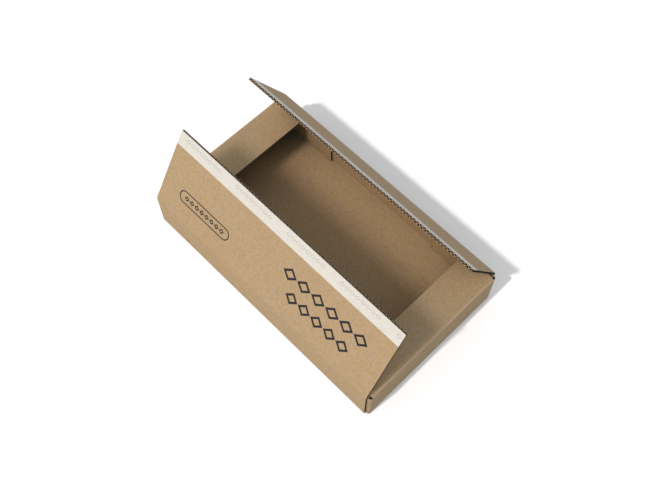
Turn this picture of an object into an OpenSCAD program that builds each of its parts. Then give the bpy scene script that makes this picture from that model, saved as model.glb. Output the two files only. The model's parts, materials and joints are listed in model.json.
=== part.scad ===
// Open shipping box of corrugated board, in millimetres.
// One die-cut sheet is folded into a tray with four walls, four glued corner tabs,
// two dust flaps that lie across the ends and two long major flaps that stand open.
// A strip of sealing tape, slit along the seam, is left on the edge of each major flap.
// The length runs along X, the major flaps hinge on the front (-Y) and rear (+Y) walls,
// and the box rests on the plane z = 0.

/* [Box] */
// Outside length, from end wall to end wall
box_l = 458; // [300:1:700]
// Outside width, from long wall to long wall
box_w = 272.5; // [200:0.5:400]
// Height of the long walls' creases above the floor
crease_h = 73; // [50:1:160]
// Distance from an end wall's outer face to the cut end of a long wall
end_inset = 6; // [5.5:0.5:12]

/* [Board] */
// Thickness of the corrugated board
board_t = 3.6; // [2.6:0.1:4]
// Thickness of each flat liner
liner_t = 0.4; // [0.25:0.05:0.5]
// Thickness of the fluted sheet between the liners
medium_t = 0.3; // [0.2:0.05:0.4]
// Length of one wave of the fluted sheet
flute_pitch = 6.4; // [5:0.1:8]
// Inside radius of every fold
crease_r = 1; // [0.2:0.1:1.2]

/* [Major flaps] */
// Lean of the open flaps, inwards from upright, in degrees
flap_lean = 31.5; // [0:0.5:60]
// How far past upright a flap opens outwards, in degrees
flap_open = 120; // [95:1:125]
// Gap between the two flaps' edges when both are closed
meet_gap = 2; // [1:0.5:6]
// How much each end of a flap draws in towards its free edge
flap_taper = 1.5; // [0:0.5:4]
// Running gap between a flap's rounded root and the wall under it
hinge_gap = 0.3; // [0.2:0.05:0.6]

/* [Dust flaps] */
// Reach of a dust flap, from the end wall's outer face to its free edge
dust_l = 59; // [30:1:100]
// Gap between a dust flap's ends and the corner tabs beside it
dust_side_gap = 0.5; // [0.3:0.1:2]
// Gap between a dust flap and a closed major flap above it
dust_top_gap = 0.4; // [0.3:0.1:2]

/* [Corner tabs] */
// Length of a glued tab, from the end wall's outer face to its cut end
tab_l = 116.5; // [40:0.5:130]
// Height of a tab's lower edge above the base
tab_foot = 2; // [1:0.5:8]
// Depth of a tab's upper edge below the top of the dust flaps
tab_head = 0.5; // [0.5:0.5:8]
// Height of the corner fold's lower end above the floor
corner_foot = 0.8; // [0.4:0.1:3]
// Width of the die-cut slot between a corner fold and the base
slot_w = 0.5; // [0.3:0.1:1.2]
// Radius of the round relief where the creases meet at a top corner
relief_r = 1.4; // [0.8:0.1:2]

/* [Tape] */
// Width of the strip of tape left on each flap
tape_w = 24; // [10:1:40]
// Thickness of the tape
tape_t = 0.12; // [0.08:0.01:0.3]

/* [Hidden] */
$fn = 48;

kraft = [0.76, 0.63, 0.46];
tape_white = [0.92, 0.9, 0.86];

// Overrun of every cutting tool past the face that it opens
cut = 1;
// Length of board crushed flat beside a crease, where no flute stays open
crush_l = 4;
// Depth of the open groove along an edge cut parallel to the flutes
groove_d = 3;

fold_r = crease_r + board_t;
core_t = board_t - 2 * liner_t;
wave_a = (core_t - medium_t) / 2;

// Half-widths of what stacks up from the outside of a long wall inwards
wall_half = box_w / 2;
tab_half = wall_half - board_t;
inner_half = tab_half - board_t;
end_flat_half = tab_half - fold_r;
dust_half = inner_half - dust_side_gap;

// Half-lengths along X
box_half = box_l / 2;
long_half = box_half - end_inset;

// Heights
hinge_clear = board_t / 2 + hinge_gap;
dust_top = crease_h - board_t / 2 - dust_top_gap;
tab_bottom = board_t + tab_foot;
tab_top = dust_top - tab_head;

// Major flap, from its hinge axis to its free edge
hinge_y = wall_half - board_t / 2;
flap_l = hinge_y - meet_gap / 2;

// A flute opening has a flat side on its liner and follows the wave on the other.
// Shares of the pitch from its middle: where the wave is half up, and where it meets the liner.
wave_mid_share = 0.2;
wave_end_share = 0.4;

// Outline of one opening round its middle at s; side is 1 towards +v and -1 towards -v
function flute_cell(s, side) = [
    [s - wave_end_share * flute_pitch, side * core_t / 2],
    [s - wave_mid_share * flute_pitch, side * wave_v(wave_mid_share)],
    [s, side * wave_v(0)],
    [s + wave_mid_share * flute_pitch, side * wave_v(wave_mid_share)],
    [s + wave_end_share * flute_pitch, side * core_t / 2]
];
function wave_v(share) = medium_t / 2 - wave_a * cos(360 * share);

// All openings that fit between s0 and s1, half a pitch apart, on alternate sides
function flute_steps(s0, s1) = floor((s1 - s0) / (flute_pitch / 2)) - 1;
function flute_start(s0, s1) = (s0 + s1 - flute_steps(s0, s1) * flute_pitch / 2) / 2;
function flute_side(i) = i % 2 == 0 ? 1 : -1;

module flute_cells(s0, s1) {
    start = flute_start(s0, s1);
    cells = [for (i = [0 : flute_steps(s0, s1)])
        flute_cell(start + i * flute_pitch / 2, flute_side(i))];
    corners = len(cells[0]);
    polygon(
        [for (cell = cells, point = cell) point],
        [for (i = [0 : len(cells) - 1]) [for (k = [0 : corners - 1]) i * corners + k]]
    );
}

// Section of a right-angle fold: its centre at the origin, the board on the +x and -y sides,
// or only the board's core where inset is the liner
module fold_section(inset = 0) {
    intersection() {
        difference() {
            circle(fold_r - inset);
            circle(crease_r + inset);
        }
        translate([2 * inset, -fold_r]) square(fold_r);
    }
}

// Runs a section drawn in Y and Z along the length, and one drawn in X and Z across the width
module along_x(half) {
    rotate([90, 0, 90]) linear_extrude(2 * half, center = true) children();
}

module along_y(half) {
    rotate([90, 0, 0]) linear_extrude(2 * half, center = true) children();
}

module both_ends() {
    children();
    mirror([1, 0, 0]) children();
}

module both_sides() {
    children();
    mirror([0, 1, 0]) children();
}

// Long wall in section, from its bottom fold to its top. The outer top corner is cut back
// along the face of a flap that is opened all the way.
module long_wall_section() {
    bevel_y = hinge_clear * (1 - sin(flap_open)) / -cos(flap_open);
    bevel_z = (hinge_clear - cos(flap_open) * board_t / 2) / sin(flap_open);
    polygon([
        [tab_half, fold_r],
        [wall_half, fold_r],
        [wall_half, crease_h - bevel_z],
        [hinge_y - bevel_y, crease_h - hinge_clear],
        [tab_half, crease_h - hinge_clear]
    ]);
}

// Base and both long walls in section
module trough_section() {
    both_ends() {
        translate([wall_half - fold_r, fold_r]) fold_section();
        long_wall_section();
    }
    translate([-wall_half + fold_r, 0]) square([2 * (wall_half - fold_r), board_t]);
}

// Base and both end walls in section, up to where the dust flaps' creases begin
module end_section() {
    both_ends() {
        translate([box_half - fold_r, fold_r]) fold_section();
        translate([box_half - board_t, fold_r]) square([board_t, dust_top - 2 * fold_r]);
    }
    translate([-box_half + fold_r, 0]) square([2 * (box_half - fold_r), board_t]);
}

// Crease and dust flap in section, with its open flutes and the groove along its free edge
module dust_section() {
    edge = box_half - dust_l;
    translate([box_half - fold_r, dust_top - fold_r]) mirror([0, 1, 0]) fold_section();
    difference() {
        translate([edge, dust_top - board_t]) square([dust_l - fold_r, board_t]);
        translate([edge - cut, dust_top - board_t + liner_t]) square([groove_d + cut, core_t]);
        translate([0, dust_top - board_t / 2])
            flute_cells(edge + groove_d + liner_t, box_half - fold_r - crush_l);
    }
}

// Corner fold and glued tab, at the front of the right-hand end. The upper edge is cut along
// the flutes, so it shows an open groove, crushed shut where the fold begins.
module corner_tab() {
    tab_end = box_half - tab_l;
    fold_x = box_half - fold_r;
    slot_x = long_half + slot_w;
    groove_z = tab_top - groove_d;
    difference() {
        union() {
            translate([fold_x, -end_flat_half, corner_foot])
                linear_extrude(tab_top - corner_foot) fold_section();
            translate([slot_x, -tab_half, corner_foot])
                cube([fold_x - slot_x, board_t, tab_top - corner_foot]);
            translate([tab_end, -tab_half, tab_bottom])
                cube([slot_x - tab_end, board_t, tab_top - tab_bottom]);
        }
        translate([tab_end - cut, -tab_half + board_t / 2, 0])
            rotate([90, 0, 90])
                linear_extrude(slot_x - crush_l - tab_end + cut)
                    rotate(90) flute_cells(tab_bottom + liner_t, groove_z - liner_t);
        translate([tab_end - cut, -tab_half + liner_t, groove_z])
            cube([slot_x - tab_end + cut, core_t, groove_d + cut]);
        translate([fold_x, -end_flat_half, groove_z])
            linear_extrude(groove_d + cut) fold_section(liner_t);
    }
}

// Open groove between the liners at the cut end of a long wall
module end_groove() {
    translate([long_half - groove_d, -wall_half + liner_t, fold_r])
        cube([groove_d + cut, core_t, crease_h]);
}

// Round relief through the end wall where the dust crease ends
module corner_relief() {
    translate([box_half - fold_r, -dust_half - relief_r / 2, tab_top])
        rotate([0, 90, 0]) cylinder(h = fold_r + cut, r = relief_r);
}

module tray() {
    color(kraft)
    difference() {
        union() {
            along_x(long_half) trough_section();
            along_y(end_flat_half) end_section();
            both_ends() along_y(dust_half) dust_section();
            both_ends() both_sides() corner_tab();
        }
        both_ends() both_sides() {
            end_groove();
            corner_relief();
        }
    }
}

// Places a front flap's pieces, drawn upright over the hinge axis with the outside at -Y
module on_front_crease() {
    translate([0, -hinge_y, crease_h]) rotate([-flap_lean, 0, 0]) children();
}

// Half the width of a flap at a distance from its crease
function flap_half(s) = long_half - flap_taper * s / flap_l;

// Outline of a flap between two distances from its crease, drawn in X and Z
module flap_outline(s0, s1) {
    polygon([
        [-flap_half(s0), s0],
        [flap_half(s0), s0],
        [flap_half(s1), s1],
        [-flap_half(s1), s1]
    ]);
}

// Open groove between the liners along one side of a flap
module flap_groove() {
    polygon([
        [flap_half(crush_l) - groove_d, crush_l],
        [flap_half(crush_l) + cut, crush_l],
        [flap_half(flap_l) + cut, flap_l + cut],
        [flap_half(flap_l) - groove_d, flap_l + cut]
    ]);
}

module upright_flap() {
    cells_half = flap_half(flap_l) - groove_d - liner_t;
    difference() {
        union() {
            rotate([90, 0, 0]) linear_extrude(board_t, center = true) flap_outline(0, flap_l);
            rotate([0, 90, 0]) cylinder(h = 2 * long_half, d = board_t, center = true);
        }
        translate([0, 0, crush_l]) linear_extrude(flap_l) flute_cells(-cells_half, cells_half);
        both_ends() rotate([90, 0, 0]) linear_extrude(core_t, center = true) flap_groove();
    }
}

module upright_tape() {
    translate([0, -board_t / 2, 0])
        rotate([90, 0, 0]) linear_extrude(tape_t) flap_outline(flap_l - tape_w, flap_l);
}

module front_flap() {
    color(kraft) on_front_crease() upright_flap();
}

module front_tape() {
    color(tape_white) on_front_crease() upright_tape();
}

module rear_flap() {
    color(kraft) mirror([0, 1, 0]) on_front_crease() upright_flap();
}

module rear_tape() {
    color(tape_white) mirror([0, 1, 0]) on_front_crease() upright_tape();
}

tray();
front_flap();
front_tape();
rear_flap();
rear_tape();
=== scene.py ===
import json
import math

import bmesh
import bpy
import numpy as np
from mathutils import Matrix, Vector


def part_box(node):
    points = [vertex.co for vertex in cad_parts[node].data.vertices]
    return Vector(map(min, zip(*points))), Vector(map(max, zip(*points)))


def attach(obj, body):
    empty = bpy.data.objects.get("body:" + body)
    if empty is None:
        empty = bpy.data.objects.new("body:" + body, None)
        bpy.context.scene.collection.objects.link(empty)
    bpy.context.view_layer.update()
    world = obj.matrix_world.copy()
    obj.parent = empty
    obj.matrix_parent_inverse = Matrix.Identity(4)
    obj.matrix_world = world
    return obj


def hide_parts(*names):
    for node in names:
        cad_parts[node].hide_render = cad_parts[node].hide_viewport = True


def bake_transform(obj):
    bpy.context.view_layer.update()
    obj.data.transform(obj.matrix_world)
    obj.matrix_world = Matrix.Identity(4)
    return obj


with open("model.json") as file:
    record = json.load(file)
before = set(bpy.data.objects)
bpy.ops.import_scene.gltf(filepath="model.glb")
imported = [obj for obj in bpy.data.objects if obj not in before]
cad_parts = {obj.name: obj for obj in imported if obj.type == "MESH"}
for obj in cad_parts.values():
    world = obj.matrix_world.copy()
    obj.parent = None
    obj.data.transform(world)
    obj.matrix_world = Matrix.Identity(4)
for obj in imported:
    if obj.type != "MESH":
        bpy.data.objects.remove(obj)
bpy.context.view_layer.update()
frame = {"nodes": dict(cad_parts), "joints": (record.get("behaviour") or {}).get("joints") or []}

MM = 0.001

# Camera, fitted to the photograph's edges
IMAGE_W = 650
FOCAL_PX = 937.9
SENSOR = 36
AZIMUTH = math.radians(45.41)
ELEVATION = math.radians(63.81)
LOOK_AT = Vector((-8.5, 13.1, 0)) * MM
DISTANCE = 1478.6 * MM

# Sheets of the board, with the fluted sheet drawn bold and the liners thin so that the waves show from afar
LINER_T = 0.2 * MM
MEDIUM_T = 0.85 * MM
FLUTE_PITCH = 6.4 * MM

# Crease between a long wall and its flap; on the wall the sheet stands proud by its skin
WALL_REACH = 4 * MM
BEND_REACH = 2.4 * MM
SKIN = 0.03 * MM
GROOVE_IN = 0.4 * MM
GROOVE_OUT = 0.1 * MM

# Rows and columns of points on a flap, the rows at distances past its crease
WALL_ROW = -3 * MM
CREASE_ROWS = 13
FLAP_ROWS = np.array([3, 4, 5, 6.5, 8, 12, 40, 80, 110]) * MM
LINER_COLUMNS = 61
STEPS_PER_FLUTE = 12

# Cut edges, with waves that grow uneven towards the free edge; their phase is in radians
SIDE_RECESS = 0.8 * MM
STRIP_T = 0.3 * MM
SPREAD = 0.35 * MM
SPREAD_REACH = 8 * MM
EDGE_WEAR = 0.06 * MM
UNEVEN_REACH = 30 * MM
UNEVEN_PHASE = 0.25
UNEVEN_SEED = 7

# Angle past which an edge is drawn hard
SHARP_ANGLE = math.radians(32)

# Tray, as it is built
CREASE_R = 1 * MM
BOARD_LINER = 0.4 * MM
END_INSET = 6 * MM
DUST_L = 59 * MM
DUST_GAP = 0.4 * MM
DUST_SIDE_GAP = 0.5 * MM
TAB_HEAD = 0.5 * MM
TAB_L = 116.5 * MM
TAB_FOOT = 2 * MM
GROOVE_D = 3 * MM
SEAM = 0.05 * MM
MOUTH = 0.35 * MM
FOLD_ANGLES = np.linspace(math.radians(5), math.radians(85), 9)

# Print; each band has its distance past the crease, a count of rhombi and their pitch
INK_T = 0.02 * MM
STROKE = 3.6 * MM
BANDS = ((72.2 * MM, 6, 27.5 * MM), (40.2 * MM, 5, 25 * MM))
BAND_X = 104 * MM
BAND_H = 22.6 * MM
BAND_WIDTH_SHARE = 0.97

# Round-ended frame and its row of small rhombi
THIN_STROKE = 1.9 * MM
PILL_X0 = -175.5 * MM
PILL_X1 = -89.5 * MM
PILL_S = 41 * MM
PILL_R = 10.7 * MM
PILL_STEPS = 16
SMALL_COUNT = 8
SMALL_H = 9 * MM
SMALL_WIDTH_SHARE = 1.12
SMALL_PITCH_SHARE = 1.2

# Faint motif on the tape
FINE_STROKE = 1.1 * MM
MOTIF_FROM_EDGE = 9 * MM
MOTIF_H = 7 * MM
MOTIF_W = 9.5 * MM
MOTIF_COUNT = 8
GROUPS = range(-2, 3)
GROUP_PITCH = 104.5 * MM
GROUP_X = 1 * MM

# Kraft paper, linear colours
KRAFT_PINK = (0.602, 0.416, 0.261)
KRAFT_YELLOW = (0.572, 0.384, 0.168)
KRAFT_DARK = (0.40, 0.262, 0.142)
# Painted highlight for the fold at the +X end
KRAFT_FOLD_HIGHLIGHT = (0.69, 0.46, 0.25)
CUT_LIGHT = (0.56, 0.362, 0.208)
CUT_DARK = (0.485, 0.312, 0.182)
# Painted shade for the board's hollow core and the tray's open grooves
INSIDE_SHADE_BROWN = (0.022, 0.016, 0.011)
INSIDE_SHADE_DARK = (0.014, 0.010, 0.007)
KRAFT_BUMP = 0.2 * MM

# Painted shade tints the paper where surfaces close in over a long reach, and painted shade darkens it to
# brown in grooves over a short one
SHADE_REACH = 90 * MM
SHADE_TINT = (0.10, 0.30, 0.42)
GROOVE_REACH = 5 * MM
GROOVE_SHADE_BROWN = (0.03, 0.021, 0.014)

# Tape and ink, linear colours
TAPE_WHITE = (0.868, 0.798, 0.682)
TAPE_CREAM = (0.833, 0.758, 0.642)
TAPE_BUMP = 0.1 * MM
INK_BLACK = (0.012, 0.011, 0.014)
INK_GREY = (0.62, 0.58, 0.51)

# Floor, with a tone for the light that it throws back and another for how it looks
FLOOR_SIZE = 30
FLOOR_DROP = 0.1 * MM
FLOOR_ALBEDO = 0.47
FLOOR_SEEN = (0.838, 0.735, 0.655)
FLOOR_LIFT = 0.23

# Two suns from one direction, a wide one for the box and a narrow one for the floor's shadow
SUN_DIRECTION = Vector((0.075, 0.718, -1.0))
KEY_COLOUR = (1.04, 1.0, 0.97)
KEY_STRENGTH = 0.99
KEY_ANGLE = math.radians(12)
FLOOR_SUN_COLOUR = (0.878, 1.0, 1.122)
FLOOR_SUN_STRENGTH = 2.43
FLOOR_SUN_ANGLE = math.radians(2.4)

# Light from above, from the left, from behind and from the front
LOBES = (
    ((0, 0, 1), (0.25, 0.400, 0.545)),
    ((-1, 0, 0), (0.330, 0.327, 0.320)),
    ((0, 1, 0), (0.30, 0.232, 0.208)),
    ((0, -1, 0), (0.97, 0.85, 0.79)),
)


def smooth_step(t):
    t = np.clip(t, 0, 1)
    return t * t * (3 - 2 * t)


def centred(count, pitch):
    """Evenly spaced places around 0."""
    return [(i - (count - 1) / 2) * pitch for i in range(count)]


def add_object(name, data):
    thing = bpy.data.objects.new(name, data)
    bpy.context.scene.collection.objects.link(thing)
    return thing


def mesh_object(name, vertices, faces, materials, face_materials=None):
    """A smooth-shaded object with hard edges and outward normals."""
    mesh = bpy.data.meshes.new(name)
    mesh.from_pydata(vertices, [], faces)
    for material in materials:
        mesh.materials.append(material)
    if face_materials is not None:
        mesh.polygons.foreach_set("material_index", face_materials)
    work = bmesh.new()
    work.from_mesh(mesh)
    bmesh.ops.recalc_face_normals(work, faces=work.faces)
    work.to_mesh(mesh)
    work.free()
    mesh.shade_smooth()
    mesh.set_sharp_from_angle(angle=SHARP_ANGLE)
    return add_object(name, mesh)


class Flap:
    """A major flap at rest, read from the frame: its crease, its directions and its sizes."""

    def __init__(self, body, side):
        joint = next(j for j in frame["joints"] if j["child"] == body)
        low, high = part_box(body)
        tape_low, tape_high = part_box(body.replace("flap", "tape"))
        self.body = body
        self.side = side
        self.hinge = np.array(joint["pos_m"], float)
        self.lean = math.radians(90 - max(joint["range_deg"]))
        wall_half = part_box("tray")[1].y
        self.board_t = 2 * (wall_half - abs(self.hinge[1]))
        sin, cos = math.sin(self.lean), math.cos(self.lean)
        self.length = (high.z - self.hinge[2] - self.board_t / 2 * sin) / cos
        self.tape_t = (tape_high.z - high.z) / sin
        self.tape_w = self.length - (tape_low.z - self.hinge[2] - self.board_t / 2 * sin) / cos
        self.half = high.x
        self.taper = (high.x - tape_high.x) * self.length / (self.length - self.tape_w)

    def half_at(self, s):
        """Half the flap's width at s past the crease."""
        return self.half - self.taper * np.maximum(s, 0) / self.length

    def place(self, x, s, v):
        """The point at x along the crease, s past the crease and v outwards from the middle of the board."""
        x, s, v = np.broadcast_arrays(*(np.asarray(a, float) for a in (x, s, v)))
        up = np.array([0.0, 1.0])
        along = np.array([math.sin(self.lean), math.cos(self.lean)])
        t = np.clip((s + BEND_REACH) / (2 * BEND_REACH), 0, 1)[..., None]
        bent = BEND_REACH * (t * t * along - (1 - t) ** 2 * up)
        past_wall = np.minimum(s + BEND_REACH, 0)[..., None] * up
        past_flap = np.maximum(s - BEND_REACH, 0)[..., None] * along
        middle = bent + past_wall + past_flap
        tangent = (1 - t) * up + t * along
        tangent /= np.linalg.norm(tangent, axis=-1, keepdims=True)
        inwards = middle[..., 0] - v * tangent[..., 1]
        upwards = middle[..., 1] + v * tangent[..., 0]
        y = self.hinge[1] - self.side * inwards
        return np.stack([x, y, self.hinge[2] + upwards], axis=-1)


class Shells:
    """Collects closed sheets, each given by two grids of points, for one mesh."""

    def __init__(self):
        self.vertices = []
        self.faces = []
        self.slots = []
        self.count = 0

    def add(self, under, over, under_slot, over_slot, edge_slot):
        rows, columns = under.shape[:2]
        self.vertices += [under.reshape(-1, 3), over.reshape(-1, 3)]
        low = self.count + np.arange(rows * columns).reshape(rows, columns)
        high = low + rows * columns
        self.count += 2 * rows * columns
        for grid, slot in ((low, under_slot), (high, over_slot)):
            quads = np.stack([grid[:-1, :-1], grid[:-1, 1:], grid[1:, 1:], grid[1:, :-1]], -1)
            self.keep(quads.reshape(-1, 4), slot)
        rim_low = self.rim(low)
        rim_high = self.rim(high)
        walls = np.stack([rim_low[:-1], rim_low[1:], rim_high[1:], rim_high[:-1]], -1)
        self.keep(walls, edge_slot)

    def rim(self, grid):
        return np.concatenate([grid[0, :-1], grid[:-1, -1], grid[-1, :0:-1], grid[::-1, 0]])

    def keep(self, quads, slot):
        self.faces += quads.tolist()
        self.slots += [slot] * len(quads)

    def build(self, name, materials):
        return mesh_object(name, np.concatenate(self.vertices), self.faces, materials, self.slots)


def fluted_sheet(flap, s, inner, outer):
    """Both faces of the fluted sheet between the liners, recessed a little from each cut."""
    half_span = flap.half - SIDE_RECESS - STRIP_T
    columns = int(2 * half_span / FLUTE_PITCH * STEPS_PER_FLUTE)
    base_x = np.linspace(-half_span, half_span, columns)[None, :]
    draws = np.random.default_rng(UNEVEN_SEED).normal(0, 1, columns // STEPS_PER_FLUTE + 3)
    uneven = np.interp(np.arange(columns) / STEPS_PER_FLUTE, np.arange(len(draws)), draws)[None, :]
    near_edge = smooth_step((s - flap.length + UNEVEN_REACH) / UNEVEN_REACH)
    sheet_s = s - (s == s.max()) * EDGE_WEAR * (1 + uneven).clip(0, 2)
    phase = 2 * math.pi * base_x / FLUTE_PITCH + UNEVEN_PHASE * near_edge * uneven
    room = (outer - inner) / 2 - LINER_T - MEDIUM_T / 2
    wave = room * np.sin(phase) + (outer + inner) / 2
    slope = room * 2 * math.pi / FLUTE_PITCH * np.cos(phase)
    to_face_x = -MEDIUM_T / 2 * slope / np.sqrt(1 + slope**2)
    to_face_v = MEDIUM_T / 2 / np.sqrt(1 + slope**2)
    x = base_x * flap.half_at(s) / flap.half
    under = flap.place(x - to_face_x, sheet_s, wave - to_face_v)
    over = flap.place(x + to_face_x, sheet_s, wave + to_face_v)
    return under, over


def flap_board(flap, materials):
    """The flap and its crease as two liners with a fluted sheet between them."""
    crease_rows = np.linspace(-BEND_REACH, BEND_REACH, CREASE_ROWS)
    edge_rows = flap.length - np.array([SPREAD_REACH, SPREAD_REACH / 2, 0])
    s = np.concatenate([[-WALL_REACH, WALL_ROW], crease_rows, FLAP_ROWS, edge_rows])[:, None]
    groove = np.cos(np.clip(s / BEND_REACH, -1, 1) * math.pi / 2) ** 2
    skin = SKIN * (1 - smooth_step((s + BEND_REACH) / BEND_REACH))
    spread = SPREAD * smooth_step((s - flap.length + SPREAD_REACH) / SPREAD_REACH)
    outer = flap.board_t / 2 - GROOVE_OUT * groove + skin
    inner = -flap.board_t / 2 + GROOVE_IN * groove - skin - spread
    x = np.linspace(-1, 1, LINER_COLUMNS)[None, :] * flap.half_at(s)
    shells = Shells()
    # Slots: the paper's face, its bare cut, and painted dark shade inside the board
    face, cut, inside_shade = range(3)
    shells.add(flap.place(x, s, outer - LINER_T), flap.place(x, s, outer), inside_shade, face, inside_shade)
    shells.add(flap.place(x, s, inner), flap.place(x, s, inner + LINER_T), face, inside_shade, cut)

    # A strip painted in dark shade closes the core just inside each side
    core = np.concatenate([inner + LINER_T, outer - LINER_T], axis=1)
    for sign in (-1, 1):
        side_x = sign * (flap.half_at(s) - SIDE_RECESS)
        strip = [flap.place(edge_x, s, core) for edge_x in (side_x, side_x - sign * STRIP_T)]
        shells.add(*strip, inside_shade, inside_shade, inside_shade)

    under, over = fluted_sheet(flap, s, inner, outer)
    shells.add(under, over, inside_shade, inside_shade, cut)
    board = shells.build(flap.body.replace("flap", "board"), materials)
    start = flap.place(0, -BEND_REACH, 0)
    end = flap.place(0, BEND_REACH, 0)
    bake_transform(board)
    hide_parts(flap.body)


def prism_object(name, prisms, material):
    """Upright prisms that ride the tray, each an outline in X and Y between two heights."""
    vertices, faces = [], []
    for outline, low_z, high_z in prisms:
        low = list(range(len(vertices), len(vertices) + len(outline)))
        high = [i + len(outline) for i in low]
        vertices += [(x, y, z) for z in (low_z, high_z) for x, y in outline]
        faces += [low[::-1], high]
        faces += [[low[i - 1], low[i], high[i], high[i - 1]] for i in range(len(low))]
    piece = mesh_object(name, vertices, faces, [material])
    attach(piece, "tray")


def at_corners(outline):
    """The outline drawn at the +X, +Y corner and mirrored to the other three."""
    return [[(side_x * x, side_y * y) for x, y in outline] for side_x in (-1, 1) for side_y in (-1, 1)]


def rectangle(x0, x1, y0, y1):
    return [(x0, y0), (x1, y0), (x1, y1), (x0, y1)]


def tray_details(crease_z, board_t, kraft, dark):
    """Kraft strips under the glued tabs, and dark fills of painted shade at the tray's open grooves."""
    low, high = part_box("tray")
    end, side, base = high.x, high.y, low.z + board_t
    foot = rectangle(end - TAB_L + SEAM, end - 3 * board_t, side - 2 * board_t + SEAM, side - board_t)
    feet = [(outline, base, base + TAB_FOOT) for outline in at_corners(foot)]
    prism_object("tab_feet", feet, kraft)

    # Painted shade filling the grooves along the dust flaps' free edges
    dust_top = crease_z - board_t / 2 - DUST_GAP
    dust_edge = end - DUST_L
    dust_half = side - 2 * board_t - DUST_SIDE_GAP
    skin = BOARD_LINER + SEAM
    fills = []
    for sign in (-1, 1):
        lips = sorted([sign * (dust_edge + MOUTH), sign * (dust_edge + GROOVE_D - SEAM)])
        fills.append((rectangle(*lips, -dust_half, dust_half), dust_top - board_t + skin, dust_top - skin))

    # Painted shade filling the grooves down the long walls' cut ends
    fold_r = CREASE_R + board_t
    slot_x0 = end - END_INSET - GROOVE_D + SEAM
    slot_x1 = end - END_INSET - MOUTH
    slot = rectangle(slot_x0, slot_x1, side - board_t + skin, side - skin)
    fills += [(outline, low.z + fold_r, crease_z - WALL_REACH) for outline in at_corners(slot)]

    # At the top of each corner fold, a fill of painted shade in its groove and a thin cap of painted shade
    # over it
    tab_top = dust_top - TAB_HEAD
    centre_x, centre_y = end - fold_r, side - board_t - fold_r
    layers = (
        (skin, tab_top - GROOVE_D + SEAM, tab_top - MOUTH),
        (SEAM, tab_top + SEAM, tab_top + 2 * SEAM),
    )
    for trim, low_z, high_z in layers:
        arc = [
            (centre_x + radius * math.cos(angle), centre_y + radius * math.sin(angle))
            for radius, angles in ((fold_r - trim, FOLD_ANGLES), (CREASE_R + trim, FOLD_ANGLES[::-1]))
            for angle in angles
        ]
        fills += [(outline, low_z, high_z) for outline in at_corners(arc)]
    prism_object("groove_fills", fills, dark)


class Print:
    """Flat printed outlines on a flap's outside, each a thin closed ring, for one mesh."""

    def __init__(self, flap, base):
        self.flap = flap
        self.base = base
        self.vertices = []
        self.faces = []

    def put(self, outline, v):
        first = len(self.vertices)
        outline = np.array(outline)
        self.vertices += self.flap.place(outline[:, 0], outline[:, 1], v).tolist()
        return list(range(first, first + len(outline)))

    def ring(self, outline, hole):
        low = self.put(outline, self.base)
        high = self.put(outline, self.base + INK_T)
        hole_low = self.put(hole, self.base)
        hole_high = self.put(hole, self.base + INK_T)
        self.band(low, high)
        self.band(hole_high, hole_low)
        self.band(high, hole_high)
        self.band(hole_low, low)

    def band(self, first, second):
        count = len(first)
        for i in range(count):
            k = (i + 1) % count
            self.faces.append([first[i], first[k], second[k], second[i]])

    def rhombus(self, x, s, width, height, stroke):
        outer = rhombus_points(x, s, width, height)
        slant = 2 * stroke * math.hypot(width, height)
        inner = rhombus_points(x, s, width - slant / height, height - slant / width)
        self.ring(outer, inner)

    def build(self, name, material):
        piece = mesh_object(name, self.vertices, self.faces, [material])
        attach(piece, self.flap.body)
        return piece


def rhombus_points(x, s, width, height):
    return [(x - width / 2, s), (x, s - height / 2), (x + width / 2, s), (x, s + height / 2)]


def pill_points(x0, x1, s, radius):
    """Outline of a bar with round ends, between two end centres."""
    angles = np.linspace(-math.pi / 2, math.pi / 2, PILL_STEPS)
    right = [(x1 + radius * math.cos(a), s + radius * math.sin(a)) for a in angles]
    left = [(x0 - radius * math.cos(a), s - radius * math.sin(a)) for a in angles]
    return right + left


def flap_print(flap, material):
    """Two bands of bold rhombi, and a round-ended frame with a row of small rhombi."""
    marks = Print(flap, flap.board_t / 2)
    for s, count, pitch in BANDS:
        for offset in centred(count, pitch):
            marks.rhombus(BAND_X + offset, s, BAND_WIDTH_SHARE * pitch, BAND_H, STROKE)
    outer = pill_points(PILL_X0, PILL_X1, PILL_S, PILL_R)
    inner = pill_points(PILL_X0, PILL_X1, PILL_S, PILL_R - THIN_STROKE)
    marks.ring(outer, inner)
    middle = (PILL_X0 + PILL_X1) / 2
    for offset in centred(SMALL_COUNT, SMALL_PITCH_SHARE * SMALL_H):
        marks.rhombus(middle + offset, PILL_S, SMALL_WIDTH_SHARE * SMALL_H, SMALL_H, THIN_STROKE)
    return marks.build("front_print", material)


def tape_motif(flap, name, material):
    """Faint groups of linked rhombi along the strip of tape."""
    marks = Print(flap, flap.board_t / 2 + flap.tape_t)
    s = flap.length - MOTIF_FROM_EDGE
    for group in GROUPS:
        start = group * GROUP_PITCH + GROUP_X + MOTIF_W / 2
        for i in range(MOTIF_COUNT):
            x = start + i * MOTIF_W
            if abs(x) + MOTIF_W / 2 < flap.half_at(s):
                marks.rhombus(x, s, MOTIF_W, MOTIF_H, FINE_STROKE)
    return marks.build(name, material)


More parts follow.
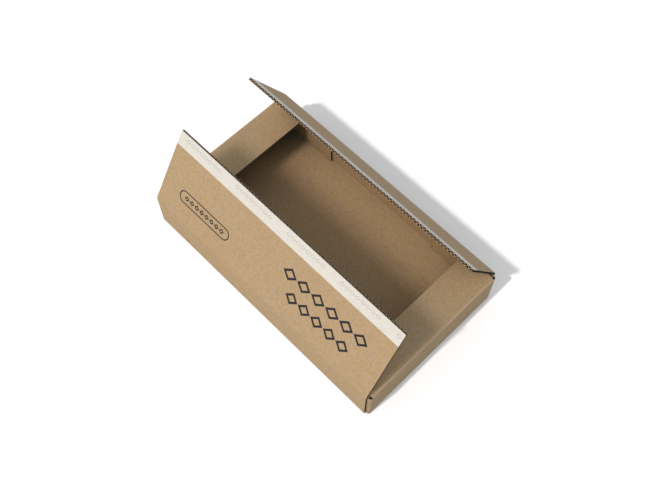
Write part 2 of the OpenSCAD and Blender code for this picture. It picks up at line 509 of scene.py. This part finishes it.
class Nodes:
    """Short calls for building a tree of nodes."""

    def __init__(self, tree):
        self.tree = tree

    def put(self, value, socket):
        """Links another node's output to the socket, or sets a number, a vector or a colour."""
        if isinstance(value, bpy.types.NodeSocket):
            self.tree.links.new(value, socket)
        elif socket.type == "RGBA":
            socket.default_value = (*value, 1)
        else:
            socket.default_value = value

    def add(self, kind, inputs=None, **settings):
        """A new node with its settings, and with what goes into its inputs, by name or by number."""
        node = self.tree.nodes.new(kind)
        for key, value in settings.items():
            setattr(node, key, value)
        for key, value in (inputs or {}).items():
            self.put(value, node.inputs[key])
        return node

    def maths(self, operation, *values):
        return self.add("ShaderNodeMath", dict(enumerate(values)), operation=operation).outputs[0]

    def seen_plainly(self):
        """1 for what the camera, a gloss or a clear body sees, and 0 for light on its way."""
        path = self.add("ShaderNodeLightPath").outputs
        seen = self.maths("MAXIMUM", path["Is Camera Ray"], path["Is Glossy Ray"])
        return self.maths("MAXIMUM", seen, path["Is Transmission Ray"])

    def switch(self, plain, seen):
        """One shader for light on its way, and another for what is seen plainly."""
        inputs = {0: self.seen_plainly(), 1: plain.outputs[0], 2: seen.outputs[0]}
        return self.add("ShaderNodeMixShader", inputs).outputs[0]


class Paint(Nodes):
    """A new procedural material, and short calls for what its colour is made of."""

    def __init__(self, name):
        self.material = bpy.data.materials.new(name)
        self.material.use_nodes = True
        super().__init__(self.material.node_tree)
        self.shader = self.tree.nodes["Principled BSDF"]

    def noise(self, scale, detail, roughness):
        place = self.add("ShaderNodeTexCoord").outputs["Object"]
        inputs = {"Vector": place, "Scale": scale, "Detail": detail, "Roughness": roughness}
        return self.add("ShaderNodeTexNoise", inputs).outputs["Fac"]

    def span(self, value, low, high, to_low=0.0, to_high=1.0):
        """Runs from to_low to to_high as the value goes from low to high, and stays level outside."""
        inputs = {"Value": value, "From Min": low, "From Max": high, "To Min": to_low, "To Max": to_high}
        return self.add("ShaderNodeMapRange", inputs).outputs["Result"]

    def mix(self, factor, a, b, blend="MIX"):
        node = self.add("ShaderNodeMix", data_type="RGBA", blend_type=blend)
        for name, value in (("Factor", factor), ("A", a), ("B", b)):
            self.put(value, next(i for i in node.inputs if i.name == name and i.enabled))
        return next(o for o in node.outputs if o.enabled)

    def openness(self, reach):
        """1 in the open, and less the more that surfaces within reach close in."""
        return self.add("ShaderNodeAmbientOcclusion", {"Distance": reach}, samples=6).outputs["AO"]

    def strands(self, scale, width):
        """1 along thin curved lines, where the noise is near its middle value, and 0 elsewhere."""
        return self.maths("COMPARE", self.noise(scale, 1, 0.5), 0.5, width)

    def facing_up_and_along(self):
        """The X part of the surface's normal times its Z part."""
        normal = self.add("ShaderNodeNewGeometry").outputs["Normal"]
        parts = self.add("ShaderNodeSeparateXYZ", {0: normal}).outputs
        return self.maths("MULTIPLY", parts["X"], parts["Z"])

    def bump(self, height, strength, distance):
        node = self.add("ShaderNodeBump", {"Height": height, "Strength": strength, "Distance": distance})
        self.put(node.outputs["Normal"], self.shader.inputs["Normal"])

    def finish(self, colour, roughness, specular):
        self.put(colour, self.shader.inputs["Base Color"])
        self.put(roughness, self.shader.inputs["Roughness"])
        self.put(specular, self.shader.inputs["Specular IOR Level"])
        return self.material


def kraft_material(name):
    """Unbleached paper: clouds, grain, specks and fibres, a painted highlight on the fold at the +X end, and
    painted shade where surfaces close in and in grooves.
    """
    m = Paint(name)
    clouds = m.noise(245, 3, 0.65)
    tone = m.mix(m.span(clouds, 0.40, 0.60), KRAFT_PINK, KRAFT_YELLOW)
    broad = m.noise(14, 2, 0.5)
    tone = m.mix(m.span(broad, 0.3, 0.7, 0.0, 0.10), tone, KRAFT_DARK)
    grain = m.noise(380, 2, 0.7)
    tone = m.mix(m.span(grain, 0.36, 0.66, 0.0, 0.45), tone, KRAFT_DARK)
    m.bump(grain, 0.25, KRAFT_BUMP)
    specks = m.noise(900, 1, 0.5)
    tone = m.mix(m.span(specks, 0.70, 0.80, 0.0, 0.4), tone, KRAFT_DARK)

    # Short curved fibres, darker in some places than in others
    patches = m.noise(150, 1, 0.5)
    fibre = m.mix(m.span(patches, 0.46, 0.6, 0.0, 0.5), tone, KRAFT_DARK)
    tone = m.mix(m.strands(210, 0.035), tone, fibre)

    # Painted highlight: the fold at the +X end, which faces both up and along +X, is painted lighter
    painted_fold_highlight = m.span(m.facing_up_and_along(), 0.1, 0.5, 0.0, 0.8)
    tone = m.mix(painted_fold_highlight, tone, KRAFT_FOLD_HIGHLIGHT)

    # Painted shade: a darker tint where surfaces close in, and dark brown in grooves
    shade = m.span(m.openness(SHADE_REACH), 0.18, 0.41, 1.0, 0.0)
    tone = m.mix(shade, tone, SHADE_TINT, "MULTIPLY")
    tone = m.mix(m.span(m.openness(GROOVE_REACH), 0.15, 0.47), GROOVE_SHADE_BROWN, tone)
    return m.finish(tone, 0.82, 0.25)


def edge_material(name, light, dark):
    """Board fibre of two close tones: bare fibre at cut edges, and painted dark shade inside the board."""
    m = Paint(name)
    fibre = m.noise(420, 2, 0.5)
    return m.finish(m.mix(m.span(fibre, 0.35, 0.65), light, dark), 0.9, 0.1)


def tape_material(name):
    """Off-white paper tape with a fine grain."""
    m = Paint(name)
    clouds = m.noise(120, 4, 0.6)
    tone = m.mix(m.span(clouds, 0.35, 0.65), TAPE_WHITE, TAPE_CREAM)
    grain = m.noise(1100, 3, 0.6)
    m.bump(grain, 0.15, TAPE_BUMP)
    return m.finish(tone, 0.6, 0.15)


def ink_material(name, colour, paper, amount):
    """Printed ink that lets a little of the paper through."""
    m = Paint(name)
    wear = m.noise(800, 3, 0.65)
    tone = m.mix(m.span(wear, 0.55, 0.8, 0.0, amount), colour, paper)
    return m.finish(tone, 0.6, 0.3)


def make_floor():
    """A plain white floor that keeps the object's shadow."""
    half = FLOOR_SIZE / 2
    mesh = bpy.data.meshes.new("floor")
    corners = rectangle(-half, half, -half, half)
    mesh.from_pydata([(x, y, -FLOOR_DROP) for x, y in corners], [], [(0, 1, 2, 3)])
    material = bpy.data.materials.new("floor_white")
    material.use_nodes = True
    material.node_tree.nodes.clear()
    n = Nodes(material.node_tree)
    plain = n.add("ShaderNodeBsdfDiffuse", {"Color": (FLOOR_ALBEDO,) * 3})
    seen = n.add("ShaderNodeBsdfDiffuse", {"Color": FLOOR_SEEN})
    lift = n.add("ShaderNodeEmission", {"Strength": FLOOR_LIFT})
    both = n.add("ShaderNodeAddShader", {0: seen.outputs[0], 1: lift.outputs[0]})
    n.add("ShaderNodeOutputMaterial", {"Surface": n.switch(plain, both)})
    mesh.materials.append(material)
    floor = add_object("floor", mesh)
    return floor


def make_world():
    """Soft light that is strongest from the front, behind a white background."""
    world = bpy.data.worlds.new("studio")
    bpy.context.scene.world = world
    world.use_nodes = True
    world.node_tree.nodes.clear()
    n = Nodes(world.node_tree)
    direction = n.add("ShaderNodeTexCoord").outputs["Generated"]
    total = (0, 0, 0)
    for axis, colour in LOBES:
        facing = n.add("ShaderNodeVectorMath", {0: direction, 1: axis}, operation="DOT_PRODUCT")
        front = n.maths("MAXIMUM", facing.outputs["Value"], 0)
        lobe = n.add("ShaderNodeVectorMath", {0: colour, "Scale": front}, operation="SCALE")
        added = n.add("ShaderNodeVectorMath", {0: total, 1: lobe.outputs["Vector"]}, operation="ADD")
        total = added.outputs["Vector"]
    light = n.add("ShaderNodeBackground", {"Color": total})
    white = n.add("ShaderNodeBackground", {"Color": (1, 1, 1)})
    n.add("ShaderNodeOutputWorld", {"Surface": n.switch(light, white)})


def make_sun(name, colour, strength, angle, floor, on_floor):
    """A sun that lights only the floor, or all but the floor."""
    lamp = bpy.data.lights.new(name, "SUN")
    lamp.color = colour
    lamp.energy = strength
    lamp.angle = angle
    sun = add_object(name, lamp)
    sun.rotation_mode = "QUATERNION"
    sun.rotation_quaternion = SUN_DIRECTION.to_track_quat("-Z", "Y")
    lit = bpy.data.collections.new(name + "_lit")
    lit.objects.link(floor)
    lit.collection_objects[0].light_linking.link_state = "INCLUDE" if on_floor else "EXCLUDE"
    sun.light_linking.receiver_collection = lit


def make_camera():
    data = bpy.data.cameras.new("camera")
    data.sensor_width = SENSOR
    data.lens = FOCAL_PX * SENSOR / IMAGE_W
    camera = add_object("camera", data)
    flat = math.cos(ELEVATION)
    back = Vector((math.sin(AZIMUTH) * flat, -math.cos(AZIMUTH) * flat, math.sin(ELEVATION)))
    camera.location = LOOK_AT + back * DISTANCE
    camera.rotation_mode = "QUATERNION"
    camera.rotation_quaternion = (-back).to_track_quat("-Z", "Y")
    bpy.context.scene.camera = camera


def repaint(node, material):
    node.data.materials.clear()
    node.data.materials.append(material)


bpy.context.scene.view_settings.view_transform = "Standard"
make_camera()
make_world()
floor = make_floor()
make_sun("key", KEY_COLOUR, KEY_STRENGTH, KEY_ANGLE, floor, False)
make_sun("floor_sun", FLOOR_SUN_COLOUR, FLOOR_SUN_STRENGTH, FLOOR_SUN_ANGLE, floor, True)

kraft = kraft_material("kraft_paper")
kraft_cut = edge_material("kraft_cut", CUT_LIGHT, CUT_DARK)
# Painted shade inside the board and in the tray's grooves, in two close dark tones
kraft_inside = edge_material("kraft_inside", INSIDE_SHADE_BROWN, INSIDE_SHADE_DARK)
tape_paper = tape_material("tape_paper")
ink_black = ink_material("ink_black", INK_BLACK, KRAFT_DARK, 0.15)
ink_grey = ink_material("ink_grey", INK_GREY, TAPE_WHITE, 0.3)

tray = frame["nodes"]["tray"]
repaint(tray, kraft)

front = Flap("front_flap", -1)
rear = Flap("rear_flap", 1)
for flap in (front, rear):
    flap_board(flap, [kraft, kraft_cut, kraft_inside])
    tape_name = flap.body.replace("flap", "tape")
    tape = frame["nodes"][tape_name]
    repaint(tape, tape_paper)
    tape_motif(flap, tape_name + "_motif", ink_grey)
    if flap is front:
        flap_print(flap, ink_black)
tray_details(front.hinge[2], front.board_t, kraft, kraft_inside)
